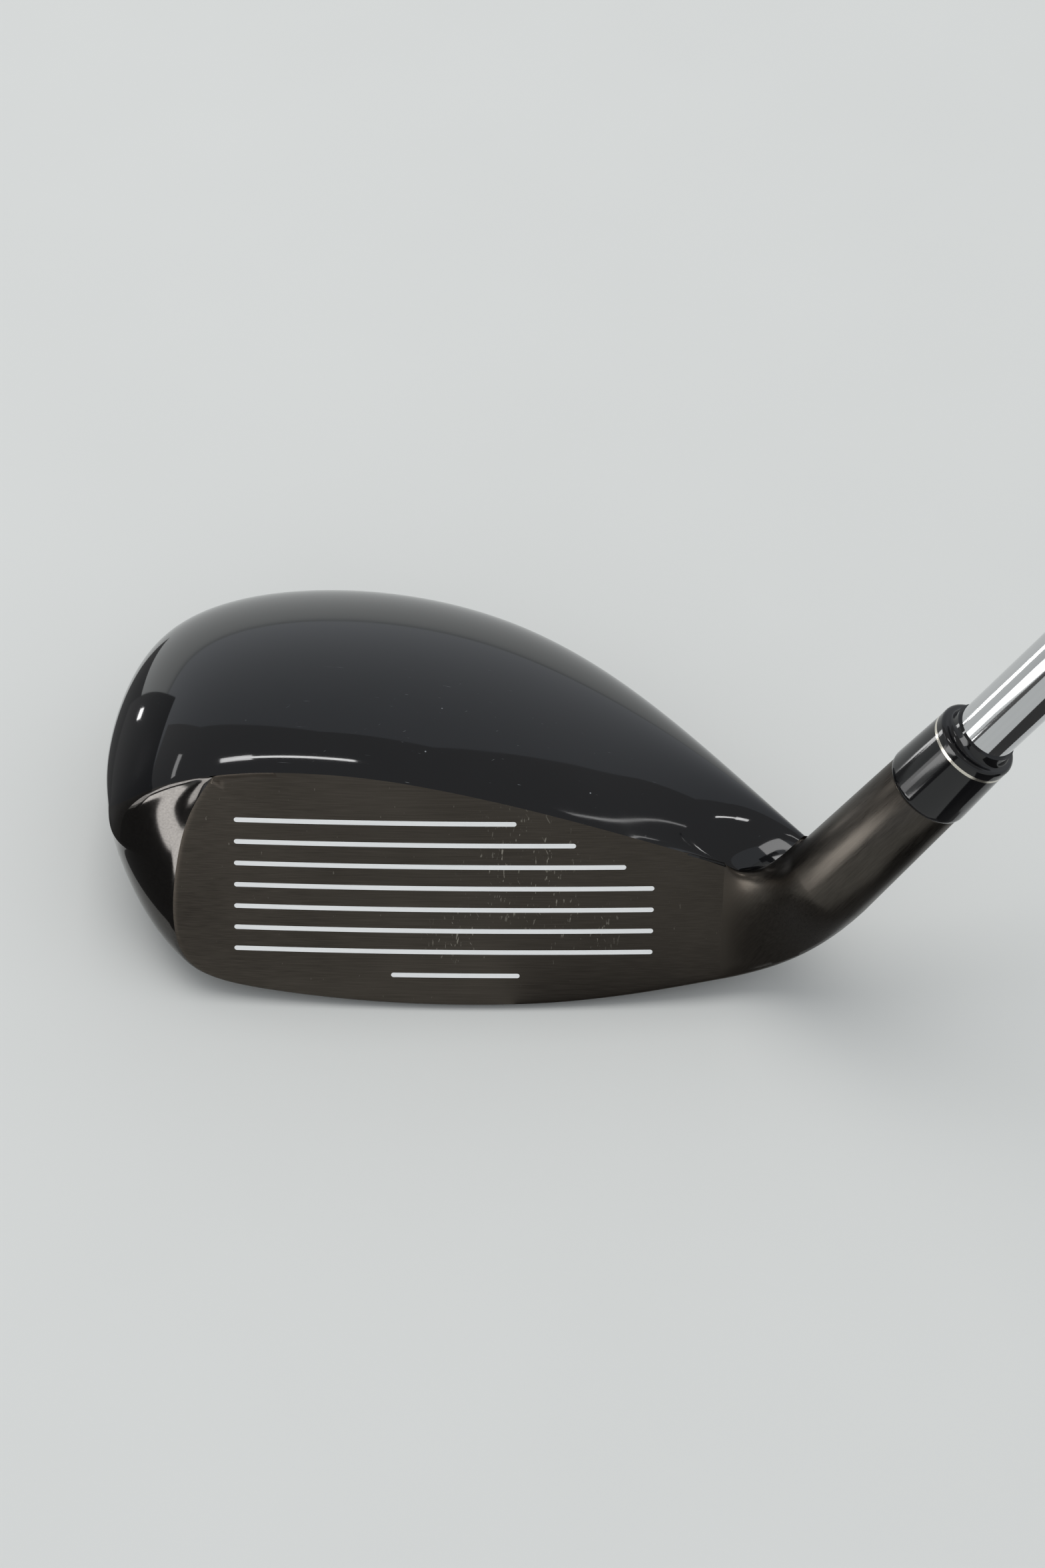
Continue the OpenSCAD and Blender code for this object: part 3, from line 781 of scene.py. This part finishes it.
# ---- Pieces ----
class CLUB_OT_crown(bpy.types.Operator):
    """Crown shell, from the topline of the face over to the rim"""

    bl_idname = "club.crown"
    bl_label = "Crown"

    def execute(self, context):
        head = Head()
        columns, rows = head.crown_columns, head.crown_rows
        bm = sheet(columns, rows, lambda i, j: head.crown(i / columns, j / rows))
        piece = finish_piece(bm, "crown_shell", None, ["crown"])
        piece.data.materials.append(gloss_lacquer(piece))
        thicken(piece)
        return {"FINISHED"}


class CLUB_OT_casting(bpy.types.Operator):
    """Skirt, sole and toe flank, up to the middle of the round at the crease"""

    bl_idname = "club.casting"
    bl_label = "Skirt and sole"

    def execute(self, context):
        head = Head()
        columns = head.casting_columns
        bm = sheet(columns, head.crease_row, lambda i, j: head.casting(i / columns, j))
        thicken(finish_piece(bm, "skirt_and_sole", polished_steel(), ["body"]))
        return {"FINISHED"}


class CLUB_OT_neck(bpy.types.Operator):
    """Neck, drawn from the heel end of the head into the round hosel with its bore"""

    bl_idname = "club.neck"
    bl_label = "Neck and hosel"

    def execute(self, context):
        rings = Head().neck_rings(face_rows=20, rows=40)
        count = len(rings[0])
        bm = welded(sheet(count, len(rings) - 1, lambda i, j: rings[j][i % count]), SHEET_WELD)
        bmesh.ops.holes_fill(bm, edges=[edge for edge in bm.edges if edge.is_boundary], sides=0)
        finish_piece(bm, "neck_and_hosel", satin_steel(), ["neck"], 60)
        return {"FINISHED"}


class CLUB_OT_face(bpy.types.Operator):
    """Brushed face from the crease to the topline, and the paint in its grooves"""

    bl_idname = "club.face"
    bl_label = "Face plate and score lines"

    def execute(self, context):
        # Enamel wiped into the grooves: matt white, a little uneven where it was wiped
        enamel = plain_finish(
            "matt_white_enamel", colours().scores, {"Roughness": 0.5},
            (3, 0.4, 0.4), (22, 0, 0), 0.1, 0.05,
        )
        head = Head()
        columns = head.brushed_face(heel_columns=12, top_columns=110, inner_rows=20)
        count = len(columns)
        bm = welded(sheet(count, len(columns[0]) - 1, lambda i, j: columns[i % count][j]), SHEET_WELD)
        thicken(finish_piece(bm, "brushed_face", brushed_steel(), ["face_plate"]))
        # This face has no grooves, so the paint is moved out until its top stands just above the steel
        bm = from_cad("score_lines")
        out, proud = Vector((0, -math.cos(head.s.loft), math.sin(head.s.loft))), 0.09 * MM
        bmesh.ops.translate(bm, vec=proud * out, verts=bm.verts)
        finish_piece(bm, "score_paint_fill", enamel, ["score_lines"], 20)
        return {"FINISHED"}


class CLUB_OT_trim(bpy.types.Operator):
    """Ferrule, its trim ring and its collar"""

    bl_idname = "club.trim"
    bl_label = "Ferrule"

    def execute(self, context):
        s, turn = sizes(), shaft_turn()
        tip, wide, narrow = s.tip_d / 2, s.ferrule_d / 2, 0.945 * s.ferrule_d / 2
        # Turned and polished cellulose plastic: deep black gloss with faint rings from the lathe
        black = plain_finish(
            "gloss_black_celluloid", colours().ferrule, {"Roughness": 0.09}, (6, 6, 0.2), turn, 0.03)
        base, edge, bevel = s.hosel_top, 0.5 * MM, 0.08 * MM
        top = base + s.ferrule_length
        sleeve = [
            (tip, base), (wide - edge / 2, base), (wide - bevel, base + edge / 3), (wide, base + edge),
            (wide, base + 2 * edge), (narrow, top), (tip, top), (tip, base),
        ]
        finish_piece(lathe(sleeve), "ferrule_sleeve", black, ["ferrule"], 40)
        # Turned aluminium: pale metal with fine rings
        bright = plain_finish(
            "turned_aluminium", colours().ring, {"Metallic": 1.0, "Roughness": 0.22}, (4, 4, 0.1), turn, 0.2)
        high = top + s.ring_width
        band = [(tip, top), (narrow, top), (narrow, high), (tip, high), (tip, top)]
        finish_piece(lathe(band), "ferrule_trim_ring", bright, ["ferrule_ring"], 40)
        # The collar: a rounded shoulder half way up, and from there a hollow curve in to the shaft
        lip, step, shoulder, end = 0.6 * MM, 0.4 * MM, high + s.collar_length / 2, high + s.collar_length
        collar = [(tip, high), (narrow, high), (narrow, shoulder - lip)]
        for a in range(15, 91, 15):
            round_off = math.cos(math.radians(a)), math.sin(math.radians(a))
            collar.append((narrow - lip + lip * round_off[0], shoulder - lip + lip * round_off[1]))
        curve = [
            Vector((narrow - 1.6 * lip, shoulder)), Vector((tip + step, shoulder)), Vector((tip + step, end)),
        ]
        collar += [bezier(curve, k / 6) for k in range(7)] + [(tip, end), (tip, high)]
        finish_piece(lathe(collar), "ferrule_collar_ring", black, ["ferrule_collar"], 40)
        return {"FINISHED"}


class CLUB_OT_shaft(bpy.types.Operator):
    """Stepped steel shaft"""

    bl_idname = "club.shaft"
    bl_label = "Shaft"

    def execute(self, context):
        s = sizes()
        tip_gap, butt_run, step_run = 0.1 * MM, 30 * MM, 2.5 * MM
        start = s.hosel_top - s.bore_depth + tip_gap
        end = s.club_length - s.cap_thickness
        pitch = (end - start - s.grip_length - butt_run - s.tip_length) / s.step_count
        outer = [(s.tip_d / 2, start)]
        for k in range(s.step_count):
            low = start + s.tip_length + k * pitch
            for n in (k, k + 1):
                outer.append((mix(s.tip_d, s.butt_d, n / s.step_count) / 2, low + (n - k) * step_run))
        outer.append((s.butt_d / 2, end))
        inner = [(r - s.shaft_wall, h) for r, h in reversed(outer)]
        # Chrome-plated drawn steel: a mirror with faint long draw lines and handling haze
        chrome = plain_finish(
            "chrome_plated_steel", colours().shaft, {"Metallic": 1.0, "Roughness": 0.07},
            (0.6, 0.6, 40), shaft_turn(), 0.04, 0.06,
        )
        tube = lathe(outer + inner + outer[:1], 128)
        finish_piece(tube, "stepped_shaft", chrome, ["shaft"], 20)
        return {"FINISHED"}


class CLUB_OT_grip(bpy.types.Operator):
    """Rubber grip and its cap"""

    bl_idname = "club.grip"
    bl_label = "Grip"

    def execute(self, context):
        for node, rubber in (
            ("grip", grip_rubber("moulded_rubber_lozenges", True)),
            ("grip_cap", grip_rubber("moulded_rubber_plain", False)),
        ):
            finish_piece(from_cad(node), node + "_rubber", rubber, [node], 30)
        return {"FINISHED"}


class CLUB_OT_inside(bpy.types.Operator):
    """Finishes of the pieces hidden inside the club"""

    bl_idname = "club.inside"
    bl_label = "Hidden pieces"

    def execute(self, context):
        for node, name, hex_value, settings, grain, depth in (
            # Rough cast iron, grey and pitted
            ("sole_weight", "cast_iron", "5a5855", {"Metallic": 1.0, "Roughness": 0.6}, (1.2, 1.2, 1.2), 0.8),
            # Cured amber epoxy, glossy with small bubbles
            ("hosel_glue", "cured_epoxy", "cbbb8c", {"Roughness": 0.3}, (0.8, 0.8, 0.8), 0.3),
            # Turned brass, with fine rings
            ("tip_plug", "turned_brass", "b08d4a", {"Metallic": 1.0, "Roughness": 0.3}, (3, 3, 0.15), 0.3),
            # Crepe paper tape, matt tan with cross wrinkles
            ("grip_tape", "crepe_paper_tape", "c8b48c", {"Roughness": 0.9}, (2.5, 2.5, 0.5), 0.9),
        ):
            mesh = frame["nodes"][node].data
            mesh.materials.clear()
            mesh.materials.append(plain_finish(name, hex_value, settings, grain, shaft_turn(), depth))
        return {"FINISHED"}


# The room's light, the soft light overhead (its place and side in metres, its power in watts), the floor
# from its middle to its edge, and the nearest thing the camera shows, both in metres
ROOM_COLOUR = "ced2d7"
KEY_PLACE, KEY_SIZE, KEY_POWER = (-0.3, 0.3, 1.5), 1.2, 9.0
FLOOR_REACH, NEAREST = 8.0, 0.01
# Studio cards and dark flags that only reflections see:
# middle in mm, azimuth from +Y of their back, lean back, width, height, radiance
CARDS = {
    "tube_bright": ((-274, 40, 1000), 0, 90, 548, 34, 16.0),
    "tube_wide": ((-430, 40, 1000), 0, 90, 230, 90, 12.0),
    "lip_tube": ((575, 185, 1000), 34, 90, 14, 446, 5.0),
    "heel_glint": ((630, -175, 1000), 0, 90, 50, 50, 10.0),
    "toe_flag": ((-126, 42, 20), -90, 0, 72, 48, 0.14),
    "toe_glint": ((-125, 66, 18), -90, 0, 5, 3, 8.0),
    "curl_card": ((-319, 73, 206), -75, 36, 110, 50, 4.0),
    "shoulder_card": ((-215, -112, 80), -118, 0, 130, 80, 4.5),
    "arm_card": ((-277, -67, 30), -102, 0, 90, 60, 2.6),
    "ferrule_card": ((-327, 184, 20), -62, 0, 70, 60, 8.0),
    "flank_card": ((-180, -107, 11), -138, 0, 66, 20, 6.0),
    "flank_floor_flag": ((-246, -185, 0.6), -140, 90, 110, 430, 0.10),
    "toe_floor_flag": ((-165, 25, 0.5), 0, 90, 110, 150, 0.10),
    "flank_flag": ((-391, -357, 30), -140, 0, 220, 60, 0.10),
    "neck_flag": ((12, -25, 0.6), 0, 90, 90, 40, 0.14),
    "shaft_flag": ((300, -62, 0.6), 0, 90, 520, 90, 0.05),
}
# Back edge of the dark ceiling flag, in mm at its height: it ends the bright band over the crown
FLAG_EDGE = (
    (-4100, 3900), (-1055, 1047), (-285, 623), (-90, 504), (52, 504), (258, 501), (436, 700), (678, 982),
    (900, 1100), (1800, 1100),
)
FLAG_HEIGHT, FLAG_FRONT, FLAG_RADIANCE = 1060, -1750, 0.40


def hang_card(name, place, azimuth, lean, width, height, radiance):
    """Stands a flat card upright with its back to an azimuth from +Y; a lean of 90 lays it flat."""
    turn = Matrix.Rotation(math.radians(-azimuth), 3, "Z") @ Matrix.Rotation(math.radians(90 - lean), 3, "X")
    card = sheet(1, 1, lambda i, j: mm(*place) + turn @ mm(width * (i - 0.5), height * (j - 0.5), 0))
    glowing(name, card, radiance)


def on_stage(name, data):
    """An object in the scene, made from its data."""
    thing = bpy.data.objects.new(name, data)
    bpy.context.scene.collection.objects.link(thing)
    return thing


def glowing(name, bm, radiance):
    """Makes a bmesh a stage piece that glows, which only reflections see."""
    mesh = new_mesh(name, bm)
    card = on_stage(name, mesh)
    card.visible_camera = card.visible_diffuse = card.visible_shadow = card.visible_transmission = False
    material = bpy.data.materials.new(name)
    material.use_nodes = True
    tree = material.node_tree
    tree.nodes.clear()
    glow = add(tree, "Emission", {"Strength": radiance})
    add(tree, "OutputMaterial", {"Surface": glow.outputs[0]})
    mesh.materials.append(material)


class CLUB_OT_stage(bpy.types.Operator):
    """Pale floor, soft lights and the camera at the photograph's angle"""

    bl_idname = "club.stage"
    bl_label = "Stage"

    def execute(self, context):
        scene = context.scene
        camera_data = bpy.data.cameras.new("camera")
        camera_data.lens, camera_data.sensor_width = CAMERA_LENS, CAMERA_SENSOR
        camera_data.sensor_fit = "AUTO"
        camera_data.clip_start = NEAREST
        scene.camera = on_stage("camera", camera_data)
        scene.camera.matrix_world = camera_matrix()

        bm = bmesh.new()
        bmesh.ops.create_grid(bm, x_segments=1, y_segments=1, size=FLOOR_REACH)
        floor = on_stage("floor", new_mesh("floor", bm))
        # Matt background paper, very slightly mottled
        floor.data.materials.append(plain_finish(
            "pale_background_paper", colours().floor, {"Roughness": 0.9, "Specular IOR Level": 0.0},
            (60, 60, 60), (0, 0, 0), 0.05, 0.02,
        ))

        key = bpy.data.lights.new("key_softbox", "AREA")
        key.shape = "SQUARE"
        key.size, key.energy = KEY_SIZE, KEY_POWER
        lamp = on_stage("key_softbox", key)
        lamp.matrix_world = Matrix.Translation(KEY_PLACE)
        lamp.visible_glossy = False
        for name, card in CARDS.items():
            hang_card(name, *card)
        edge, low, high = FLAG_EDGE, FLAG_FRONT, FLAG_HEIGHT
        flag = sheet(len(edge) - 1, 1, lambda i, j: mm(edge[i][0], edge[i][1] if j else low, high))
        glowing("ceiling_flag", flag, FLAG_RADIANCE)

        world = bpy.data.worlds.new("studio")
        scene.world = world
        world.use_nodes = True
        tree = world.node_tree
        tree.nodes.clear()
        room = add(tree, "Background", {"Color": linear(ROOM_COLOUR), "Strength": 1.0})
        add(tree, "OutputWorld", {"Surface": room.outputs[0]})
        scene.view_settings.view_transform = "Standard"
        return {"FINISHED"}


# ---- Camera and image points ----
def camera_matrix():
    """Camera place and turn: it looks along +Y and down, with a slight roll."""
    right, up = Vector((1, 0, 0)), Vector((0, math.sin(CAMERA_DOWN), math.cos(CAMERA_DOWN)))
    back = Vector((0, -math.cos(CAMERA_DOWN), math.sin(CAMERA_DOWN)))
    rolled_right = right * math.cos(CAMERA_ROLL) + up * math.sin(CAMERA_ROLL)
    rolled_up = up * math.cos(CAMERA_ROLL) - right * math.sin(CAMERA_ROLL)
    turn = Matrix((rolled_right, rolled_up, back)).transposed().to_4x4()
    return Matrix.Translation(CAMERA_PLACE) @ turn


def image_ray(x, y):
    """Direction from the camera through a point of the photograph's frame."""
    reach = max(PHOTO_W, PHOTO_H)
    local = Vector((x - PHOTO_W / 2, PHOTO_H / 2 - y, -reach * CAMERA_LENS / CAMERA_SENSOR))
    return (camera_matrix().to_3x3() @ local).normalized()


def to_image(p):
    """Where a world point shows in the photograph's frame."""
    local = camera_matrix().inverted() @ p
    scale = max(PHOTO_W, PHOTO_H) * CAMERA_LENS / CAMERA_SENSOR / -local.z
    return PHOTO_W / 2 + local.x * scale, PHOTO_H / 2 - local.y * scale


def placed(name, carrier):
    """The place on a finished carrier that shows at an image point, or the place nearest the ray."""
    ray = image_ray(*IMAGE_POINTS[name])
    surface = BVHTree.FromObject(carrier, bpy.context.evaluated_depsgraph_get())
    hit = surface.ray_cast(CAMERA_PLACE, ray)[0]
    if hit is None:
        places = [vert.co for vert in carrier.data.vertices]
        hit = min(places, key=lambda p: (p - CAMERA_PLACE).cross(ray).length)
    MARKS[name] = hit
    return hit


MARKS = {}
# Which piece shows each limit, and the direction in the image in which it is the limit
LIMITS = {
    "toe_left": (("crown_shell", "skirt_and_sole"), (-1, 0)),
    "crown_top": (("crown_shell",), (0, -1)),
    "sole_bottom": (("skirt_and_sole",), (0, 1)),
    **{
        f"score_{row}_{side}": (("score_paint_fill",), (across, 0))
        for row in ("top", "low", "short") for side, across in (("left", -1), ("right", 1))
    },
    "ferrule_low_left": (("ferrule_sleeve",), (-0.76, -0.66)),
    "ferrule_low_right": (("ferrule_sleeve",), (0.61, 0.80)),
    "ring_left": (("ferrule_trim_ring",), (-1, 0)),
    "ring_right": (("ferrule_trim_ring",), (0.45, 0.89)),
}
# Half the spacing of the score lines in the image: a score line's ends are looked for this near their point.
# The vertices this near the last one, from left to right, make up its end.
ROW_REACH, END_REACH = 8.0, 3
# A vertex is seen if nothing hides it from farther in front than this
SEEN_GAP = 0.15 * MM


def write_points():
    """Works out where each image point's thing shows in the photograph's frame, in x and y."""
    graph = bpy.context.evaluated_depsgraph_get()
    head = Head()
    shown = {}
    for piece in bpy.context.scene.objects:
        if piece.type == "MESH" and piece.visible_camera and not piece.hide_render and piece.name != "floor":
            mesh = piece.evaluated_get(graph).to_mesh()
            shown[piece.name] = (BVHTree.FromObject(piece, graph), [vert.co.copy() for vert in mesh.vertices])

    def seen(p):
        ray = p - CAMERA_PLACE
        for surface, _ in shown.values():
            if surface.ray_cast(CAMERA_PLACE, ray.normalized(), ray.length - SEEN_GAP)[0] is not None:
                return False
        return True

    found = {name: to_image(place) for name, place in MARKS.items()}
    found["toe_crease_top"] = to_image(head.topline_at(head.corner_t))
    found["face_heel_top"] = to_image(head.topline_at(1))
    for name, (pieces, (across, down)) in LIMITS.items():
        x, y = IMAGE_POINTS[name]
        score = name.startswith("score")
        near = ROW_REACH if score else math.inf
        spots = [(to_image(p), p) for piece in pieces for p in shown[piece][1]]
        spots = [(q, p) for q, p in spots if y is None or abs(q[1] - y) < near]
        spots.sort(key=lambda spot: -spot[0][0] * across - spot[0][1] * down)
        last = next((q for q, p in spots if seen(p)), None)
        # A row's end is the middle of its last visible vertices
        ends = [q for q, p in spots if last and score and abs(q[0] - last[0]) < END_REACH and seen(p)]
        found[name] = (last[0], (min(q[1] for q in ends) + max(q[1] for q in ends)) / 2) if ends else last


class CLUB_PT_panel(bpy.types.Panel):
    """Lists the club's operators"""

    bl_label = "Hybrid golf club"
    bl_idname = "CLUB_PT_panel"
    bl_space_type = "VIEW_3D"
    bl_region_type = "UI"
    bl_category = "Club"

    def draw(self, context):
        for operator in OPERATORS:
            self.layout.operator(operator.bl_idname)


OPERATORS = (
    CLUB_OT_stage, CLUB_OT_crown, CLUB_OT_casting, CLUB_OT_neck, CLUB_OT_face,
    CLUB_OT_trim, CLUB_OT_shaft, CLUB_OT_grip, CLUB_OT_inside,
)
CLASSES = (ClubSizes, ClubColours) + OPERATORS + (CLUB_PT_panel,)


def register():
    for cls in CLASSES:
        bpy.utils.register_class(cls)
    bpy.types.Scene.club_sizes = PointerProperty(type=ClubSizes)
    bpy.types.Scene.club_colours = PointerProperty(type=ClubColours)


def unregister():
    del bpy.types.Scene.club_colours
    del bpy.types.Scene.club_sizes
    for cls in reversed(CLASSES):
        bpy.utils.unregister_class(cls)


def main():
    register()
    for operator in OPERATORS:
        group, name = operator.bl_idname.split(".")
        getattr(getattr(bpy.ops, group), name)()
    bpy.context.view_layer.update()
    write_points()


if __name__ == "__main__":
    main()
